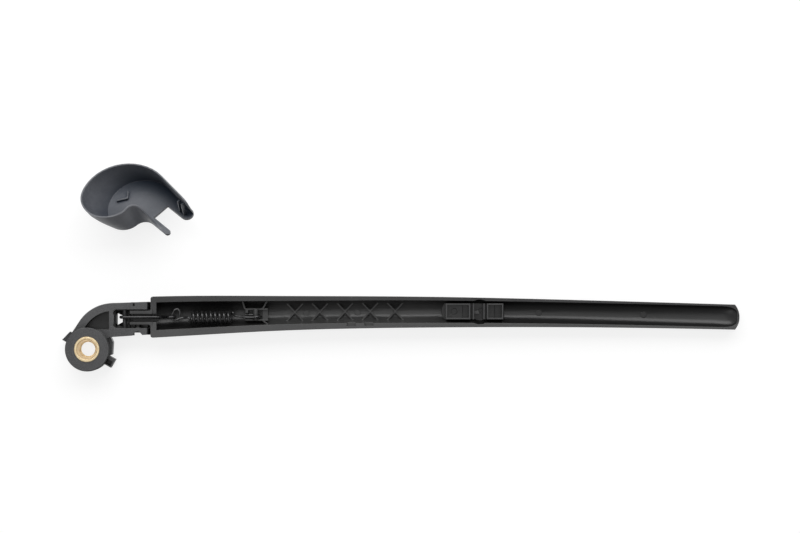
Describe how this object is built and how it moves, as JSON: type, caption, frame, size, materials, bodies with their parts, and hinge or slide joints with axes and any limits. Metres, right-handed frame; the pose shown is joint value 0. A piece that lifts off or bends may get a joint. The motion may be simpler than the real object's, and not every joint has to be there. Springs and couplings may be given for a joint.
{
  "type": "wiper arm",
  "caption": "Rear wiper arm with a splined-spindle hub, fold hinge, tension spring and slim channel arm, lying on its back beside its spindle cap.",
  "frame": {"origin": "on the spindle axis, at the face of the bush that the nut clamps", "axes": "+X along the arm to its tip, +Z along the spindle axis towards the glass side, which faces up"},
  "size_m": [0.4209, 0.129, 0.0372],
  "materials": {
    "head_plastic": "satin black glass-filled plastic",
    "bush_brass": "turned, dull",
    "pin_steel": "blackened",
    "hook_steel": "black coated wire",
    "spring_steel": "black coated wire",
    "arm_plastic": "satin black glass-filled plastic",
    "cap_plastic": "satin dark grey plastic"
  },
  "bodies": {
    "head": {"arm_head": "head_plastic", "spindle_bush": "bush_brass", "hinge_pins": "pin_steel", "hook_pin": "pin_steel", "spindle_cap": "cap_plastic"},
    "arm": {"arm_channel": "arm_plastic"},
    "tension_link": {"tension_hook": "hook_steel", "tension_spring": "spring_steel"}
  },
  "joints": [
    {"name": "arm_fold", "type": "hinge", "parent": "head", "child": "arm", "pos_m": [0.0311, 0.02, 0.005], "axis": [0, 1, 0], "range_deg": [0, 50], "stiffness_Nm_per_rad": 0.3, "springref_deg": -34.38, "deforming": ["tension_spring"]},
    {"name": "link_swing", "type": "hinge", "parent": "head", "child": "tension_link", "pos_m": [0.023, 0.02, 0.0078], "axis": [0, 1, 0], "range_deg": [0, 46]}
  ],
  "couplings": [
    {"joint": "link_swing", "follows": "arm_fold", "ratio": 0.898}
  ]
}
